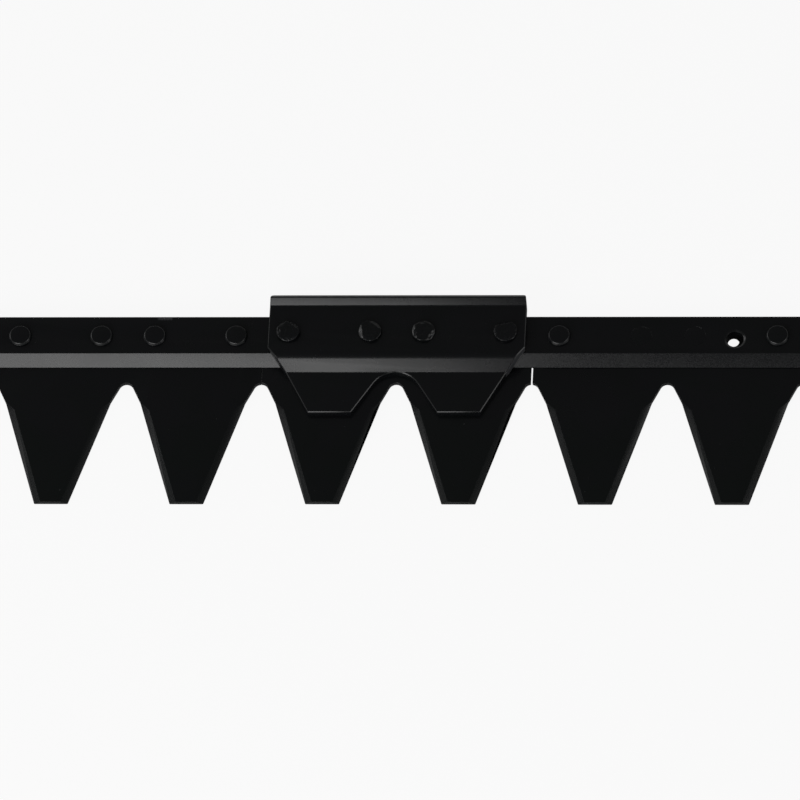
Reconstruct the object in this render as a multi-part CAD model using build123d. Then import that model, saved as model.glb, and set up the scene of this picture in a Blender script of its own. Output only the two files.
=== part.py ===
from build123d import *
from math import acos, atan2, cos, hypot, radians, sin, tan
import os

# Mower knife of a double-knife cutter bar: a flat knife back with a bevelled front edge, double sections
# riveted under it, and a folded head plate riveted over the middle section.
# All lengths are in millimetres and all angles in degrees.
# X runs along the knife, -Y is where the teeth point and +Z is up.
# The origin is the middle of the underside, half way between the tooth tips and the rear of the lip.

# Sections
SECTION_NAMES = ["section_left", "section_middle", "section_right"]
TEETH_PER_SECTION = 2
TOOTH_PITCH = 70.0
TOOTH_LENGTH = 70.3
TIP_WIDTH = 17.4
TIP_CORNER_RADIUS = 0.6
FLANK_ANGLE = 17.4
SHOULDER_DEPTH = 11.2
VALLEY_RADIUS = 3.8
ROOT_DEPTH = 8.7
SECTION_THICKNESS = 2.5
SECTION_REAR_INSET = 1.5
CLOSED_JOINT_GAP = 0.1
OPEN_JOINT_GAP = 0.9
RIGHT_END_INSET = 1.2

# Ground cutting bevel on the flanks
GRIND_WIDTH = 3.3
GRIND_LAND = 0.4
GRIND_RUN_OUT = 6.0

# Knife back
BACK_TOP_DEPTH = 21.75
BACK_THICKNESS = 6.0
BACK_BEVEL = 5.5
BACK_END_OVERHANG = 6.0
BACK_REAR_RADIUS = 0.5
BEVEL_TOP_RADIUS = 0.6
BEVEL_FOOT_RADIUS = 0.4

# Open bolt hole in the back, with a dished rim, and the smaller hole in the section under it
BOLT_HOLE_DIAMETER = 9.0
BOLT_HOLE_FROM_MIDDLE = 34.4
BOLT_HOLE_FROM_REAR = 13.3
BOLT_HOLE_DISH_WIDTH = 1.1
BOLT_HOLE_DISH_DEPTH = 0.6
SECTION_HOLE_DIAMETER = 6.0
SECTION_HOLE_SHIFT = 1.1

# Rivets
RIVET_ROW_FROM_REAR = 11.6
INNER_RIVET_OFFSET = 13.9
OUTER_RIVET_OFFSET = 56.3
SHANK_DIAMETER = 6.0
SHANK_CLEARANCE = 0.05
RAISED_HEAD_DIAMETER = 12.2
RAISED_HEAD_FLAT = 10.4
RAISED_HEAD_HEIGHT = 1.8
FLUSH_HEAD_DIAMETER = 11.0
HAMMERED_HEAD_DIAMETER = 11.8
HAMMERED_HEAD_HEIGHT = 2.0
HAMMER_MARKS = 4
HAMMER_MARK_TILT = 13.0
HAMMER_MARK_REACH = 3.9
HAMMER_TURN = 137.5

# Head plate
PLATE_THICKNESS = 4.0
PLATE_SIDE_MARGIN = 10.3
PLATE_REAR_OVERHANG = 4.0
PLATE_SIDE_LENGTH = 20.5
LIP_LENGTH = 4.7
LIP_ANGLE = 45.0
LIP_INNER_RADIUS = 1.5
LIP_CORNER_RADIUS = 1.5
LIP_TAPER = 0.6
CRANK_START = 1.7
CRANK_ANGLE = 41.5
CRANK_TOP_INNER_RADIUS = 1.2
CRANK_FOOT_INNER_RADIUS = 1.0
CRANK_TAPER = 9.9
LUG_LENGTH = 22.9
LUG_WIDTH = 22.2
LUG_INWARD_SHIFT = 1.6
NOTCH_DEPTH = 23.5
NOTCH_RADIUS = 13.5
PLATE_EDGE_CHAMFER = 0.4

# Least upward and most rearward part of the normal of a face on the folded plate's upper side
UPPER_FACE_LEAN = 0.3

# Reach of a cutting shape past the faces that it cuts
PAST = 5.0

# Sizes that follow from the ones above
section_count = len(SECTION_NAMES)
section_pitch = TEETH_PER_SECTION * TOOTH_PITCH
flank_slope = tan(radians(FLANK_ANGLE))
back_top_z = SECTION_THICKNESS + BACK_THICKNESS
plate_top_z = back_top_z + PLATE_THICKNESS
back_depth = BACK_TOP_DEPTH + BACK_BEVEL
back_length = section_count * section_pitch + 2 * BACK_END_OVERHANG
lip_miter = PLATE_THICKNESS * tan(radians(LIP_ANGLE / 2))
lip_face_length = LIP_LENGTH + lip_miter
lip_reach = lip_miter + lip_face_length * cos(radians(LIP_ANGLE))
overall_depth = TOOTH_LENGTH + ROOT_DEPTH + back_depth + PLATE_REAR_OVERHANG + lip_reach
tip_y = -overall_depth / 2
valley_y = tip_y + TOOTH_LENGTH
shoulder_y = valley_y - SHOULDER_DEPTH
back_front_y = valley_y + ROOT_DEPTH
bevel_top_y = back_front_y + BACK_BEVEL
back_rear_y = back_front_y + back_depth
rivet_y = back_rear_y - RIVET_ROW_FROM_REAR
shank_radius = SHANK_DIAMETER / 2
hole_radius = shank_radius + SHANK_CLEARANCE
plate_half_width = OUTER_RIVET_OFFSET + PLATE_SIDE_MARGIN
lip_corner_y = back_rear_y + PLATE_REAR_OVERHANG + lip_miter
lip_end_y = overall_depth / 2
plate_side_y = back_rear_y - PLATE_SIDE_LENGTH
crank_half_turn = tan(radians(CRANK_ANGLE / 2))
crank_start_y = bevel_top_y - CRANK_START
crank_corner_y = crank_start_y - CRANK_TOP_INNER_RADIUS * crank_half_turn
foot_corner_y = crank_corner_y - BACK_THICKNESS / tan(radians(CRANK_ANGLE))
foot_outer_radius = CRANK_FOOT_INNER_RADIUS + PLATE_THICKNESS
foot_y = foot_corner_y - foot_outer_radius * crank_half_turn
lug_front_y = foot_y - LUG_LENGTH
lug_middle_x = TOOTH_PITCH / 2 - LUG_INWARD_SHIFT


def section_middle_x(index):
    """X of the middle of a section, counted from the left."""
    return (index - (section_count - 1) / 2) * section_pitch


def rivet_offsets():
    """X of a section's four rivets, from the section's middle."""
    return [-OUTER_RIVET_OFFSET, -INNER_RIVET_OFFSET, INNER_RIVET_OFFSET, OUTER_RIVET_OFFSET]


def bolt_hole_place():
    """X and Y of the open bolt hole."""
    return section_middle_x(section_count - 1) + BOLT_HOLE_FROM_MIDDLE, back_rear_y - BOLT_HOLE_FROM_REAR


def polygon(points):
    """Flat face with straight sides."""
    return make_face(Polyline(*points, close=True))


def turned(points):
    """Solid of revolution round Z, from (radius, height) points."""
    return revolve(polygon([(radius, 0, z) for radius, z in points]), Axis.Z)


def drilled(radius, low_z, high_z, x, y):
    """Upright cylinder between two heights, as a drill leaves it."""
    return Pos(x, y, low_z) * extrude(Circle(radius), high_z - low_z)


def touch_point(point, centre, radius):
    """Where a straight line from a point on the right touches the upper right of a circle."""
    reach_x = point[0] - centre[0]
    reach_y = point[1] - centre[1]
    turn = atan2(reach_y, reach_x) + acos(radius / hypot(reach_x, reach_y))
    return centre[0] + radius * cos(turn), centre[1] + radius * sin(turn)


def half_gap(y):
    """Half the width of the gap between two straight flanks."""
    return TOOTH_PITCH / 2 - TIP_WIDTH / 2 - flank_slope * (y - tip_y)


def arched_opening(apex_y, radius, side_points):
    """Plan face under a round arch whose sides run down through the points given for the right side."""
    touch = touch_point(side_points[0], (0, apex_y - radius), radius)
    right = [touch] + side_points
    left = [(-x, y) for x, y in right]
    arch = ThreePointArc(left[0], (0, apex_y), right[0])
    sides = Polyline(*right, *reversed(left))
    return make_face(arch.edges() + sides.edges())


def valley():
    """Space between two teeth: a round root, flared shoulders and straight flanks."""
    low_y = tip_y - PAST
    sides = [(half_gap(shoulder_y), shoulder_y), (half_gap(low_y), low_y)]
    face = arched_opening(valley_y, VALLEY_RADIUS, sides)
    return Pos(0, 0, -PAST) * extrude(face, SECTION_THICKNESS + 2 * PAST)


def grinding_wedge():
    """What the wheel takes off the left flank of a tooth at X = 0, tapering out at the shoulder."""
    length = hypot(shoulder_y - tip_y, flank_slope * (shoulder_y - tip_y))
    rise = (SECTION_THICKNESS - GRIND_LAND) / GRIND_WIDTH
    top_z = SECTION_THICKNESS + rise * PAST
    outline = [(-PAST, GRIND_LAND), (0, GRIND_LAND), (GRIND_WIDTH + PAST, top_z), (-PAST, top_z)]
    end = length - GRIND_RUN_OUT
    end_face = polygon([(inward, end, z) for inward, z in outline])
    straight = extrude(end_face, end + PAST, dir=(0, -1, 0))
    run_out = loft([end_face, Vertex(0, length, SECTION_THICKNESS)], ruled=True)
    return Pos(-TIP_WIDTH / 2, tip_y, 0) * Rot(0, 0, FLANK_ANGLE) * (straight + run_out)


def section(index):
    """Double section: two teeth with ground flanks, and four rivet holes."""
    insets = [CLOSED_JOINT_GAP / 2, CLOSED_JOINT_GAP / 2, OPEN_JOINT_GAP / 2, RIGHT_END_INSET]
    middle_x = section_middle_x(index)
    left_x = middle_x - section_pitch / 2 + insets[index]
    right_x = middle_x + section_pitch / 2 - insets[index + 1]
    rear_y = back_rear_y - SECTION_REAR_INSET
    face = polygon([(left_x, tip_y), (right_x, tip_y), (right_x, rear_y), (left_x, rear_y)])
    plate = extrude(face, SECTION_THICKNESS)
    for number in range(TEETH_PER_SECTION + 1):
        plate -= Pos(middle_x + (number - TEETH_PER_SECTION / 2) * TOOTH_PITCH, 0, 0) * valley()
    tip_edges = plate.edges().filter_by(Axis.Z).group_by(Axis.Y)[0]
    plate = fillet(tip_edges, TIP_CORNER_RADIUS)
    wedge = grinding_wedge()
    for number in range(TEETH_PER_SECTION):
        tooth = Pos(middle_x + (number - (TEETH_PER_SECTION - 1) / 2) * TOOTH_PITCH, 0, 0)
        plate -= tooth * wedge
        plate -= tooth * mirror(wedge, Plane.YZ)
    for offset in rivet_offsets():
        plate -= drilled(hole_radius, -PAST, SECTION_THICKNESS + PAST, middle_x + offset, rivet_y)
    if index == section_count - 1:
        hole_x = bolt_hole_place()[0] - SECTION_HOLE_SHIFT
        plate -= drilled(SECTION_HOLE_DIAMETER / 2, -PAST, SECTION_THICKNESS + PAST, hole_x, rivet_y)
    return plate


def flush_seat(x):
    """Countersink in the top of the back for a rivet that is ground level with it."""
    wide = FLUSH_HEAD_DIAMETER / 2 + SHANK_CLEARANCE
    low_z = back_top_z - (wide - hole_radius)
    points = [(0, low_z), (hole_radius, low_z), (wide, back_top_z), (wide, back_top_z + PAST)]
    return Pos(x, rivet_y, 0) * turned(points + [(0, back_top_z + PAST)])


def bolt_hole():
    """Open hole through the back, with a shallow dish round its mouth."""
    x, y = bolt_hole_place()
    radius = BOLT_HOLE_DIAMETER / 2
    dish_z = back_top_z - BOLT_HOLE_DISH_DEPTH
    points = [(0, 0), (radius, 0), (radius, dish_z), (radius + BOLT_HOLE_DISH_WIDTH, back_top_z)]
    points += [(radius + BOLT_HOLE_DISH_WIDTH, back_top_z + PAST), (0, back_top_z + PAST)]
    return Pos(x, y, 0) * turned(points)


def knife_back():
    """Flat bar with a 45 degree bevel along its front edge."""
    low_z = SECTION_THICKNESS
    foot_z = back_top_z - BACK_BEVEL
    profile = polygon([
        (0, back_rear_y, low_z),
        (0, back_rear_y, back_top_z),
        (0, bevel_top_y, back_top_z),
        (0, back_front_y, foot_z),
        (0, back_front_y, low_z),
    ])
    bar = Pos(-back_length / 2, 0, 0) * extrude(profile, back_length, dir=(1, 0, 0))
    long_edges = bar.edges().filter_by(Axis.X)
    bar = fillet(long_edges.group_by(Axis.Y)[-1], BACK_REAR_RADIUS)
    bevel_edges = bar.edges().filter_by(Axis.X).filter_by_position(Axis.Y, back_front_y, bevel_top_y)
    top_edge = bevel_edges.sort_by(Axis.Z)[-1]
    bar = fillet(top_edge, BEVEL_TOP_RADIUS)
    front_edges = bar.edges().filter_by(Axis.X).group_by(Axis.Y)[0]
    bar = fillet(front_edges.sort_by(Axis.Z)[-1], BEVEL_FOOT_RADIUS)
    for index in range(section_count):
        for offset in rivet_offsets():
            bar -= drilled(hole_radius, 0, back_top_z + PAST, section_middle_x(index) + offset, rivet_y)
    for offset in [-INNER_RIVET_OFFSET, INNER_RIVET_OFFSET]:
        bar -= flush_seat(section_middle_x(section_count - 1) + offset)
    return bar - bolt_hole()


def sheet_profile():
    """Side view of the folded plate: lugs, crank, flat and lip, all of one thickness."""
    lip_end_z = back_top_z + lip_face_length * sin(radians(LIP_ANGLE))
    underside = FilletPolyline(
        (0, lug_front_y, SECTION_THICKNESS),
        (0, foot_corner_y, SECTION_THICKNESS),
        (0, crank_corner_y, back_top_z),
        (0, lip_corner_y, back_top_z),
        (0, lip_corner_y + lip_face_length * cos(radians(LIP_ANGLE)), lip_end_z),
        radius=[foot_outer_radius, CRANK_TOP_INNER_RADIUS, LIP_INNER_RADIUS + PLATE_THICKNESS],
    )
    return make_face(offset(underside, PLATE_THICKNESS, side=Side.RIGHT, closed=True).edges())


def plate_outline():
    """Plan view of the folded plate, with its tapered crank, its lugs and the arched notch between them."""
    lug_outer_x = lug_middle_x + LUG_WIDTH / 2
    lug_inner_x = lug_middle_x - LUG_WIDTH / 2
    lip_start_y = lip_corner_y - lip_miter
    right = [
        (plate_half_width - LIP_TAPER, lip_end_y),
        (plate_half_width, lip_start_y),
        (plate_half_width, plate_side_y),
        (plate_half_width - CRANK_TAPER, foot_y),
        (lug_outer_x, lug_front_y),
    ]
    left = [(-x, y) for x, y in reversed(right)]
    face = polygon(right + left)
    lip_corners = face.vertices().group_by(Axis.Y)[-1]
    face = fillet(lip_corners, LIP_CORNER_RADIUS)
    inner_sides = [(lug_inner_x, lug_front_y), (lug_inner_x + PAST / 2, lug_front_y - PAST)]
    return face - arched_opening(lug_front_y + NOTCH_DEPTH, NOTCH_RADIUS, inner_sides)


def upper_rim(plate):
    """Outer edges of the folded plate's upper side: those that only one of its faces has."""
    normals = [(face, face.normal_at()) for face in plate.faces()]
    faces = [face for face, normal in normals if normal.Z > UPPER_FACE_LEAN > normal.Y]
    edges = [edge for face in faces for edge in face.edges()]
    places = [tuple(round(value, 3) for value in edge.position_at(0.5)) for edge in edges]
    return [edge for edge, place in zip(edges, places) if places.count(place) == 1]


def head_plate():
    """Folded plate over the back: upturned rear lip, flat, crank, and one lug on each tooth."""
    width = 2 * plate_half_width
    folded = Pos(-width / 2, 0, 0) * extrude(sheet_profile(), width, dir=(1, 0, 0))
    plate = folded & extrude(plate_outline(), plate_top_z + lip_face_length)
    plate = chamfer(upper_rim(plate), PLATE_EDGE_CHAMFER)
    for offset in rivet_offsets():
        plate -= drilled(hole_radius, 0, plate_top_z + PAST, offset, rivet_y)
    return plate


def shank(top_z):
    """Points of a rivet's shank, from its end in the underside to its top."""
    return [(0, 0), (shank_radius, 0), (shank_radius, top_z)]


def raised_rivet():
    """Rivet with a low head on the back, with steep sides and a flat top."""
    top_z = back_top_z + RAISED_HEAD_HEIGHT
    head = [(RAISED_HEAD_DIAMETER / 2, back_top_z), (RAISED_HEAD_FLAT / 2, top_z), (0, top_z)]
    return turned(shank(back_top_z) + head)


def flush_rivet():
    """Rivet whose upper head is countersunk and ground level with the back."""
    wide = FLUSH_HEAD_DIAMETER / 2
    cone_foot = back_top_z - (wide - shank_radius)
    return turned(shank(cone_foot) + [(wide, back_top_z), (0, back_top_z)])


def hammered_rivet(turn):
    """Rivet with a low head on the head plate, dented by hammer blows round its shoulder."""
    wide = HAMMERED_HEAD_DIAMETER / 2
    top_z = plate_top_z + HAMMERED_HEAD_HEIGHT
    rivet = turned(shank(plate_top_z) + [(wide, plate_top_z), (wide, top_z), (0, top_z)])
    for mark in range(HAMMER_MARKS):
        tilt = HAMMER_MARK_TILT * (1 + mark % 3)
        blow = Pos(0, 0, top_z) * Rot(0, 0, turn + mark * HAMMER_TURN) * Pos(HAMMER_MARK_REACH, 0, 0)
        rivet -= blow * Rot(0, tilt, 0) * Pos(0, 0, wide) * Box(4 * wide, 4 * wide, 2 * wide)
    return rivet


def parts():
    """Every piece of the knife, by name."""
    pieces = {"knife_back": knife_back(), "head_plate": head_plate()}
    for index, name in enumerate(SECTION_NAMES):
        pieces[name] = section(index)
    left_x = section_middle_x(0)
    right_x = section_middle_x(section_count - 1)
    for number, offset in enumerate(rivet_offsets(), 1):
        pieces[f"left_rivet_{number}"] = Pos(left_x + offset, rivet_y, 0) * raised_rivet()
        pieces[f"head_rivet_{number}"] = Pos(offset, rivet_y, 0) * hammered_rivet(number * HAMMER_TURN)
    for number, offset in enumerate([-OUTER_RIVET_OFFSET, OUTER_RIVET_OFFSET], 1):
        pieces[f"right_rivet_{number}"] = Pos(right_x + offset, rivet_y, 0) * raised_rivet()
    for number, offset in enumerate([-INNER_RIVET_OFFSET, INNER_RIVET_OFFSET], 1):
        pieces[f"right_flush_rivet_{number}"] = Pos(right_x + offset, rivet_y, 0) * flush_rivet()
    return pieces


if __name__ == "__main__":
    os.makedirs("parts", exist_ok=True)
    for name, piece in parts().items():
        export_step(piece, f"parts/{name}.step")
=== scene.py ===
import math

import bpy
from bpy.props import FloatProperty, FloatVectorProperty, IntProperty, PointerProperty
from mathutils import Matrix, Vector


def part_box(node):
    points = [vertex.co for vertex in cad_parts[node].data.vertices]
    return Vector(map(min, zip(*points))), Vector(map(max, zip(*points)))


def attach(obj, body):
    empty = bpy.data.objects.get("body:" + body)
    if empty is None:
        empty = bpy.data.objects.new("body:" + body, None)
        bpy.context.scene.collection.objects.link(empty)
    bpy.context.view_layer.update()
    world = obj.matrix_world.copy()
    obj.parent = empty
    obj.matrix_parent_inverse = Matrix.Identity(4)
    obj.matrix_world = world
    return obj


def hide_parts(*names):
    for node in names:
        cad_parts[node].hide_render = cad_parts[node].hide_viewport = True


bl_info = {
    "name": "Mower knife",
    "version": (1, 0, 0),
    "blender": (4, 5, 0),
    "location": "3D View > Sidebar > Mower knife",
    "description": "Finishes a riveted mower knife in worn black paint and sets up its studio",
    "category": "Object",
}

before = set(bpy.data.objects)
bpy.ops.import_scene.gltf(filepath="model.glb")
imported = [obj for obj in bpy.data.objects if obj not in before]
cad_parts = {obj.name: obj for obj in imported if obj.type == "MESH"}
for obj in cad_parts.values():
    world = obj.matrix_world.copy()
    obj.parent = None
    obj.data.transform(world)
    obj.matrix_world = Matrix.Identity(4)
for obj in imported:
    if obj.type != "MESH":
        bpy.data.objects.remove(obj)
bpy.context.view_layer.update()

MM = 0.001

SECTIONS = ["section_left", "section_middle", "section_right"]
RAISED_RIVETS = ["left_rivet_1", "left_rivet_2", "left_rivet_3", "left_rivet_4", "right_rivet_1", "right_rivet_2"]
HAMMERED_RIVETS = ["head_rivet_1", "head_rivet_2", "head_rivet_3", "head_rivet_4"]
FLUSH_RIVETS = ["right_flush_rivet_1", "right_flush_rivet_2"]

back_low, back_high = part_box("knife_back")
plate_low, plate_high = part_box("head_plate")
section_low, section_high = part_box("section_left")


class PaintSettings(bpy.types.PropertyGroup):
    """Colours and gloss of the black paint."""

    # Blue-black is the paint's tone. On the teeth it also stands for a painted reflection on their upper part,
    # which fades into green-black towards the tips.
    blue_black: FloatVectorProperty(
        name="Blue-black", description="Paint of the bar and of the upper part of the teeth",
        subtype="COLOR", default=(0.0040, 0.0044, 0.0054), min=0.0, max=1.0)
    # Green-black is partly the paint's random cloudy tone and partly painted shade towards the tips of the teeth,
    # where their reflection fades.
    green_black: FloatVectorProperty(
        name="Green-black", description="Thinner paint towards the tips of the teeth",
        subtype="COLOR", default=(0.0022, 0.0036, 0.0034), min=0.0, max=1.0)
    # Dust is also the grey of the painted sheen on the head plate's lip and of the painted highlight along its
    # slanted cut.
    dust: FloatVectorProperty(
        name="Dust", description="Grey of dust specks and rubbed edges",
        subtype="COLOR", default=(0.055, 0.056, 0.060), min=0.0, max=1.0)
    bare_steel: FloatVectorProperty(
        name="Bare steel", description="Steel where a flake of paint is gone",
        subtype="COLOR", default=(0.34, 0.34, 0.35), min=0.0, max=1.0)
    roughness: FloatProperty(
        name="Roughness", description="Roughness of sound paint", default=0.27, min=0.0, max=1.0)
    peel_size: FloatProperty(
        name="Peel size", description="Size of the ripples in the paint's skin",
        default=1.6 * MM, min=0.0, unit="LENGTH", precision=5)
    peel_depth: FloatProperty(
        name="Peel depth", description="Depth of the ripples in the paint's skin",
        default=0.004 * MM, min=0.0, unit="LENGTH", precision=6)


class EdgeSettings(bpy.types.PropertyGroup):
    """How far paint and wear round the edges of each kind of piece."""

    plate_edge: FloatProperty(
        name="Plate edge", description="Rounding of the edges of the back, the sections and the head plate",
        default=0.22 * MM, min=0.0, unit="LENGTH", precision=5)
    rivet_edge: FloatProperty(
        name="Rivet edge", description="Rounding of the edges of a raised rivet head",
        default=0.45 * MM, min=0.0, unit="LENGTH", precision=5)
    hammer_edge: FloatProperty(
        name="Hammered edge", description="Rounding between the blows on a hammered rivet head",
        default=0.35 * MM, min=0.0, unit="LENGTH", precision=5)
    flush_edge: FloatProperty(
        name="Flush edge", description="Rounding round a flush rivet, which leaves a faint ring",
        default=0.12 * MM, min=0.0, unit="LENGTH", precision=5)
    segments: IntProperty(
        name="Segments", description="Faces across each rounded edge", default=3, min=1, max=6)


class StudioSettings(bpy.types.PropertyGroup):
    """Camera and lights."""

    azimuth: FloatProperty(
        name="Azimuth", description="How far the camera stands to the right of the teeth's direction",
        subtype="ANGLE", default=math.radians(10.73))
    elevation: FloatProperty(
        name="Elevation", description="Height of the camera above the horizon",
        subtype="ANGLE", default=math.radians(60.0))
    roll: FloatProperty(
        name="Roll", description="Turn of the camera about its own axis",
        subtype="ANGLE", default=math.radians(-9.308))
    distance: FloatProperty(
        name="Distance", description="From the camera to the point it looks at", default=4.56, unit="LENGTH")
    lens: FloatProperty(
        name="Lens", description="Focal length in millimetres on a 36 mm sensor", default=398.4)
    target: FloatVectorProperty(
        name="Target", description="Point that the camera looks at", subtype="TRANSLATION",
        default=(2.2 * MM, 3.3 * MM, 0.0), unit="LENGTH")
    key_radiance: FloatProperty(
        name="Key radiance", description="Brightness of the soft box in front", default=3.2, min=0.0)
    fill_radiance: FloatProperty(
        name="Fill radiance", description="Brightness of the two side panels", default=1.6, min=0.0)
    sky_low: FloatProperty(
        name="Sky low", description="Brightness of the room near the horizon", default=0.55, min=0.0)
    sky_high: FloatProperty(
        name="Sky high", description="Brightness of the room overhead", default=0.08, min=0.0)


class Wire:
    """A shader socket that takes part in sums: each operator adds the Math node that works it out."""

    def __init__(self, finish, socket):
        self.finish = finish
        self.socket = socket

    def sum_of(self, operation, first, second):
        return self.finish.add("ShaderNodeMath", {"operation": operation}, [first, second])

    def __add__(self, other):
        return self.sum_of("ADD", self, other)

    def __radd__(self, other):
        return self.sum_of("ADD", other, self)

    def __sub__(self, other):
        return self.sum_of("SUBTRACT", self, other)

    def __rsub__(self, other):
        return self.sum_of("SUBTRACT", other, self)

    def __mul__(self, other):
        return self.sum_of("MULTIPLY", self, other)

    def __rmul__(self, other):
        return self.sum_of("MULTIPLY", other, self)

    def __truediv__(self, other):
        return self.sum_of("DIVIDE", self, other)

    def __rtruediv__(self, other):
        return self.sum_of("DIVIDE", other, self)

    def __or__(self, other):
        return self.sum_of("MAXIMUM", self, other)

    def rise(self, low, high):
        """0 below low, 1 above high and a soft step between them."""
        settings = {"interpolation_type": "SMOOTHSTEP"}
        return self.finish.add("ShaderNodeMapRange", settings, {"Value": self, "From Min": low, "From Max": high})

    def band(self, low, high, soft):
        """1 between low and high, fading to 0 over a soft border."""
        return self.rise(low - soft, low + soft) * (1 - self.rise(high - soft, high + soft))


class Finish:
    """A node material or world that is written as expressions."""

    def __init__(self, tree):
        self.tree = tree
        self.tree.nodes.clear()

    def add(self, kind, settings=None, inputs=None, output=0):
        """One node: its type, its settings, and the values or wires of its sockets."""
        node = self.tree.nodes.new(kind)
        for name, value in (settings or {}).items():
            setattr(node, name, value)
        pairs = enumerate(inputs) if isinstance(inputs, list) else (inputs or {}).items()
        for key, value in pairs:
            if isinstance(value, Wire):
                self.tree.links.new(value.socket, node.inputs[key])
            else:
                node.inputs[key].default_value = value
        return Wire(self, node.outputs[output]) if node.outputs else None

    def place(self):
        """Place on the piece, in metres of the frame."""
        return self.add("ShaderNodeTexCoord", output="Object")

    def axes(self, vector):
        """X, Y and Z of a vector as three wires."""
        x = self.add("ShaderNodeSeparateXYZ", {}, [vector])
        outputs = x.socket.node.outputs
        return x, Wire(self, outputs[1]), Wire(self, outputs[2])

    def noise(self, place, size, detail=2.0, roughness=0.5, stretch=(1.0, 1.0, 1.0)):
        """Cloudy pattern whose lumps are about one size across, from 0 to 1."""
        scale = tuple(1 / (size * share) for share in stretch)
        scaled = self.add("ShaderNodeVectorMath", {"operation": "MULTIPLY"}, [place, scale])
        return self.add("ShaderNodeTexNoise", {}, {
            "Vector": scaled, "Scale": 1.0, "Detail": detail, "Roughness": roughness})

    def specks(self, place, spacing, radius, share):
        """Small round dots, one in a share of the cells of a random grid."""
        scaled = self.add("ShaderNodeVectorMath", {"operation": "SCALE"}, {0: place, "Scale": 1 / spacing})
        cells = self.add("ShaderNodeTexVoronoi", {"feature": "F1"}, {"Vector": scaled, "Scale": 1.0})
        colour = Wire(self, cells.socket.node.outputs["Color"])
        chance = self.axes(colour)[0]
        reach = radius / spacing
        return (1 - cells.rise(reach * 0.5, reach)) * (1 - chance.rise(share, share + 0.01))

    def spot(self, place, centre, radius):
        """Round mark at one place."""
        far = self.add("ShaderNodeVectorMath", {"operation": "DISTANCE"}, [place, centre], output="Value")
        return 1 - far.rise(radius * 0.6, radius)

    def mix(self, share, first, second):
        """First colour where share is 0 and second where it is 1."""
        node = self.add("ShaderNodeMix", {"data_type": "RGBA"}, {"Factor": share}, output=2)
        for key, value in (("A", first), ("B", second)):
            socket = [s for s in node.socket.node.inputs if s.name == key and s.type == "RGBA"][0]
            if isinstance(value, Wire):
                self.tree.links.new(value.socket, socket)
            else:
                socket.default_value = (*value, 1.0)
        return node

    def bump(self, height, distance, normal=None):
        """Normal of a surface that a height from 0 to 1 lifts by a distance."""
        inputs = {"Height": height, "Distance": distance, "Strength": 1.0}
        if normal:
            inputs["Normal"] = normal
        return self.add("ShaderNodeBump", {}, inputs)

    def surface(self, colour, roughness, normal, metallic=0.0, ior=1.5):
        """Paint shader from its colour, roughness and normal."""
        shader = self.add("ShaderNodeBsdfPrincipled", {}, {
            "Base Color": colour, "Roughness": roughness, "Metallic": metallic, "IOR": ior, "Normal": normal})
        self.add("ShaderNodeOutputMaterial", {}, [shader])


def material(name):
    """New node material, and the finish that writes it."""
    made = bpy.data.materials.new(name)
    made.use_nodes = True
    return made, Finish(made.node_tree)


def paint(name, marks=(), worn=None, streaks=0.0, tip_painted_shade=0.0, roughness_shift=0.0):
    """Worn black paint: ripples, cloudy colour, dust, painted shade towards the tips of the teeth, and the marks
    and worn places of one piece, which on the head plate include a painted sheen and a painted highlight.
    """
    look = bpy.context.scene.knife_paint
    made, finish = material(name)
    place = finish.place()
    x, y, z = finish.axes(place)
    clouds = finish.noise(place, 22 * MM, detail=3.0)
    fine = finish.noise(place, 0.5 * MM, detail=3.0)
    ripples = finish.noise(place, look.peel_size, detail=1.0)
    lean = clouds.rise(0.35, 0.65) * 0.5
    # Painted shade: the teeth darken into green-black towards their tips, in place of the reflection that fades
    # down them.
    if tip_painted_shade:
        lean = lean + (1 - (y / MM).rise(-34, 4)) * tip_painted_shade
    colour = finish.mix(lean.rise(0.0, 1.0), tuple(look.blue_black), tuple(look.green_black))
    dust = finish.specks(place, 9 * MM, 0.35 * MM, 0.16) | finish.specks(place, 2.3 * MM, 0.13 * MM, 0.10)
    for centre, radius in marks:
        dust = dust | finish.spot(place, centre, radius)
    haze = finish.noise(place, 60 * MM, detail=4.0).rise(0.45, 0.75) * fine.rise(0.5, 0.8) * 0.10
    rubbed = haze
    # For the head plate, the worn places include a painted sheen on the lip and a painted highlight along the
    # slanted cut.
    if worn:
        rubbed = rubbed | worn(finish, x / MM, y / MM, z / MM, fine)
    colour = finish.mix(rubbed, colour, tuple(look.dust))
    colour = finish.mix(dust * 0.8, colour, tuple(look.dust))
    height = ripples
    if streaks:
        lines = finish.noise(place, 0.35 * MM, detail=2.0, stretch=(60.0, 1.0, 1.0))
        height = height + lines * streaks
    height = height + dust * 6.0
    normal = finish.bump(height, look.peel_depth)
    roughness = look.roughness + roughness_shift + (clouds - 0.5) * 0.10 + rubbed * 0.25 + dust * 0.4
    finish.surface(colour, roughness, normal)
    return made


def back_wear(finish, x, y, z, fine):
    """Flake of paint off the rear edge, and rubbed paint along the bevel."""
    flake = x.band(-125, -117.5, 0.6) * y.rise(45.6, 46.8) * fine.rise(0.32, 0.5)
    bevel = (z + 0).band(3.0, 8.3, 0.15) * (1 - y.rise(26.0, 26.8))
    return flake | bevel * fine.rise(0.35, 0.75) * 0.30


def plate_wear_and_painted_highlight(finish, x, y, z, fine):
    """Paint on the upturned lip, greyer towards its left, partly rubbed and partly a painted sheen; and a painted
    highlight along the slanted cut at the right end.
    """
    # The lip's lighter grey, strongest on its left, is partly scuffed paint and partly a painted sheen.
    lip = y.rise(51.0, 53.0) * z.rise(12.7, 13.2) * (1 - x.rise(-70, 75) * 0.85)
    # The slanted cut at the right end is painted light grey: a painted highlight along its face.
    cut = (x * 0.774 - y * 0.633).rise(33.9, 34.15) * y.band(15.4, 27.4, 0.3)
    return lip * fine.rise(0.25, 0.8) * 0.55 | cut * 0.9


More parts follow.
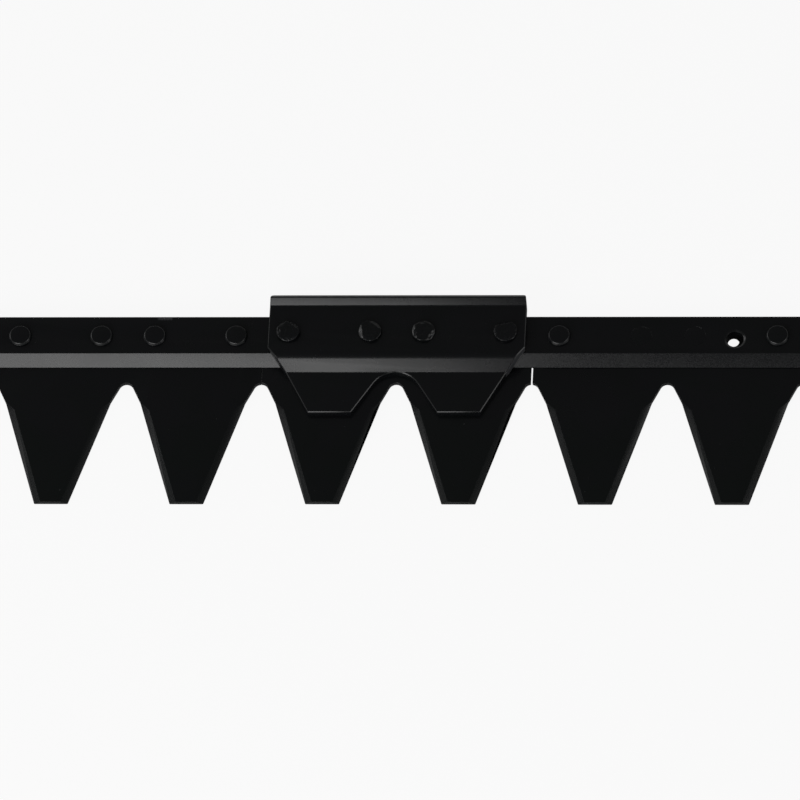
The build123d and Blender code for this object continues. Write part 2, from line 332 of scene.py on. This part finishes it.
def finished(node, name, coat, edge, smooth_below=40.0, lumps=0.0):
    """Copy of a solid with merged faces, rounded edges and a coat of paint, which stands for the solid."""
    settings = bpy.context.scene.knife_edges
    piece = bpy.data.objects.new(name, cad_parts[node].data.copy())
    bpy.context.scene.collection.objects.link(piece)
    bpy.ops.object.select_all(action="DESELECT")
    bpy.context.view_layer.objects.active = piece
    piece.select_set(True)
    bpy.ops.object.mode_set(mode="EDIT")
    bpy.ops.mesh.select_all(action="SELECT")
    bpy.ops.mesh.customdata_custom_splitnormals_clear()
    bpy.ops.mesh.remove_doubles(threshold=0.002 * MM)
    bpy.ops.mesh.dissolve_limited(angle_limit=math.radians(0.4))
    bpy.ops.object.mode_set(mode="OBJECT")
    bevel = piece.modifiers.new("rounded edges", "BEVEL")
    bevel.width = edge
    bevel.segments = settings.segments
    bevel.limit_method = "ANGLE"
    bevel.angle_limit = math.radians(24)
    bevel.use_clamp_overlap = True
    bpy.ops.object.modifier_apply(modifier=bevel.name)
    if lumps:
        refine = piece.modifiers.new("finer faces", "REMESH")
        refine.mode = "VOXEL"
        refine.voxel_size = 0.16 * MM
        refine.use_smooth_shade = True
        bpy.ops.object.modifier_apply(modifier=refine.name)
        cloud = bpy.data.textures.new(name + " lumps", "CLOUDS")
        cloud.noise_scale = 1.9 * MM
        push = piece.modifiers.new("lumps", "DISPLACE")
        push.texture = cloud
        push.texture_coords = "LOCAL"
        push.strength = lumps
        push.mid_level = 0.5
        bpy.ops.object.modifier_apply(modifier=push.name)
    bpy.ops.object.shade_smooth_by_angle(angle=math.radians(smooth_below))
    piece.data.materials.clear()
    piece.data.materials.append(coat)
    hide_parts(node)
    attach(piece, "root")
    return piece


class KNIFE_OT_sections(bpy.types.Operator):
    """Finish the three double sections with their ground flanks"""

    bl_idname = "knife.sections"
    bl_label = "Sections"

    def execute(self, context):
        edge = context.scene.knife_edges.plate_edge
        # The sections' paint carries painted shade towards the tips of the teeth.
        coat = paint("section paint", marks=SECTION_MARKS, tip_painted_shade=0.55)
        for node in SECTIONS:
            finished(node, node + "_finished", coat, edge)
        return {"FINISHED"}


class KNIFE_OT_back(bpy.types.Operator):
    """Finish the knife back, the flat bar with the bevelled front edge"""

    bl_idname = "knife.back"
    bl_label = "Knife back"

    def execute(self, context):
        edge = context.scene.knife_edges.plate_edge
        coat = paint("back paint", marks=BACK_MARKS, worn=back_wear, streaks=0.5)
        finished("knife_back", "knife_back_finished", coat, edge)
        return {"FINISHED"}


class KNIFE_OT_head_plate(bpy.types.Operator):
    """Finish the folded head plate"""

    bl_idname = "knife.head_plate"
    bl_label = "Head plate"

    def execute(self, context):
        edge = context.scene.knife_edges.plate_edge
        # The head plate's paint carries a painted sheen on its lip and a painted highlight along its slanted cut.
        coat = paint("plate paint", marks=PLATE_MARKS, worn=plate_wear_and_painted_highlight)
        finished("head_plate", "head_plate_finished", coat, edge)
        return {"FINISHED"}


class KNIFE_OT_rivets(bpy.types.Operator):
    """Finish the raised, hammered and flush rivets"""

    bl_idname = "knife.rivets"
    bl_label = "Rivets"

    def execute(self, context):
        edges = context.scene.knife_edges
        coat = paint("rivet paint")
        for node in RAISED_RIVETS:
            finished(node, node + "_finished", coat, edges.rivet_edge)
        for node in HAMMERED_RIVETS:
            finished(node, node + "_finished", coat, edges.hammer_edge, lumps=0.5 * MM)
        for node in FLUSH_RIVETS:
            finished(node, node + "_finished", coat, edges.flush_edge)
        return {"FINISHED"}


def soft_panel(name, centre, target, width, height, radiance):
    """Rectangular lamp that faces a point and gives off an even radiance."""
    data = bpy.data.lights.new(name, "AREA")
    data.shape = "RECTANGLE"
    data.size = width
    data.size_y = height
    data.energy = radiance * width * height * math.pi
    lamp = bpy.data.objects.new(name, data)
    lamp.location = centre
    lamp.rotation_euler = (Vector(target) - Vector(centre)).to_track_quat("-Z", "Y").to_euler()
    lamp.visible_camera = False
    bpy.context.scene.collection.objects.link(lamp)
    return lamp


def room_light():
    """World: white behind the object, and for its light a room that is pale near the floor and dark overhead."""
    settings = bpy.context.scene.knife_studio
    world = bpy.data.worlds.new("studio")
    world.use_nodes = True
    bpy.context.scene.world = world
    finish = Finish(world.node_tree)
    direction = finish.add("ShaderNodeTexCoord", output="Generated")
    height = finish.axes(direction)[2]
    level = height.rise(0.12, 0.50)
    glow = settings.sky_low + level * (settings.sky_high - settings.sky_low)
    seen = finish.add("ShaderNodeLightPath", output="Is Camera Ray")
    strength = seen + (1 - seen) * glow
    sky = finish.add("ShaderNodeBackground", {}, {"Color": (1.0, 1.0, 1.0, 1.0), "Strength": strength})
    finish.add("ShaderNodeOutputWorld", {}, [sky])


def floor_material():
    """Pale floor that looks white to the camera and still keeps the soft shadow."""
    made, finish = material("pale floor")
    matt = finish.add("ShaderNodeBsdfDiffuse", {}, {"Color": (0.78, 0.78, 0.78, 1.0)})
    white = finish.add("ShaderNodeEmission", {}, {"Color": (1.0, 1.0, 1.0, 1.0), "Strength": 1.02})
    seen = finish.add("ShaderNodeLightPath", output="Is Camera Ray")
    floor = finish.add("ShaderNodeMixShader", {}, [seen * 0.9, matt, white])
    finish.add("ShaderNodeOutputMaterial", {}, [floor])
    return made


class KNIFE_OT_stage(bpy.types.Operator):
    """Set up the floor, the lamps and the camera"""

    bl_idname = "knife.stage"
    bl_label = "Studio"

    def execute(self, context):
        settings = context.scene.knife_studio
        bpy.ops.object.select_all(action="DESELECT")
        bpy.ops.mesh.primitive_plane_add(size=30.0, location=(0.0, 0.0, 0.0))
        floor = context.active_object
        floor.name = "floor"
        floor.data.materials.append(floor_material())
        middle = (0.0, 0.0, 0.01)
        soft_panel("key", (-0.62, -1.08, 0.56), middle, 1.15, 0.80, settings.key_radiance)
        soft_panel("left fill", (-1.9, 0.9, 0.9), middle, 1.2, 0.9, settings.fill_radiance)
        soft_panel("right fill", (2.0, -0.7, 0.8), middle, 1.2, 0.9, settings.fill_radiance)
        room_light()
        data = bpy.data.cameras.new("camera")
        data.lens = settings.lens
        data.sensor_width = 36.0
        data.clip_start = 0.1
        data.clip_end = 60.0
        camera = bpy.data.objects.new("camera", data)
        flat = math.cos(settings.elevation)
        away = Vector((
            math.sin(settings.azimuth) * flat,
            -math.cos(settings.azimuth) * flat,
            math.sin(settings.elevation),
        ))
        camera.rotation_mode = "QUATERNION"
        level = (-away).to_track_quat("-Z", "Y")
        turn = Matrix.Rotation(settings.roll, 3, "Z").to_quaternion()
        camera.rotation_quaternion = level @ turn
        camera.location = Vector(settings.target) + away * settings.distance
        context.scene.collection.objects.link(camera)
        context.scene.camera = camera
        context.scene.view_settings.view_transform = "Standard"
        return {"FINISHED"}


SECTION_MARKS = []
BACK_MARKS = []
PLATE_MARKS = []


class KNIFE_PT_panel(bpy.types.Panel):
    """Steps of the mower knife"""

    bl_idname = "KNIFE_PT_panel"
    bl_label = "Mower knife"
    bl_space_type = "VIEW_3D"
    bl_region_type = "UI"
    bl_category = "Mower knife"

    def draw(self, context):
        for step in STEPS:
            self.layout.operator(step.bl_idname)


STEPS = (KNIFE_OT_sections, KNIFE_OT_back, KNIFE_OT_head_plate, KNIFE_OT_rivets, KNIFE_OT_stage)
SETTINGS = (PaintSettings, EdgeSettings, StudioSettings)


def register():
    for item in SETTINGS + STEPS + (KNIFE_PT_panel,):
        bpy.utils.register_class(item)
    bpy.types.Scene.knife_paint = PointerProperty(type=PaintSettings)
    bpy.types.Scene.knife_edges = PointerProperty(type=EdgeSettings)
    bpy.types.Scene.knife_studio = PointerProperty(type=StudioSettings)


def unregister():
    del bpy.types.Scene.knife_studio
    del bpy.types.Scene.knife_edges
    del bpy.types.Scene.knife_paint
    for item in reversed(SETTINGS + STEPS + (KNIFE_PT_panel,)):
        bpy.utils.unregister_class(item)


def main():
    register()
    bpy.ops.knife.sections()
    bpy.ops.knife.back()
    bpy.ops.knife.head_plate()
    bpy.ops.knife.rivets()
    bpy.ops.knife.stage()


if __name__ == "__main__":
    main()
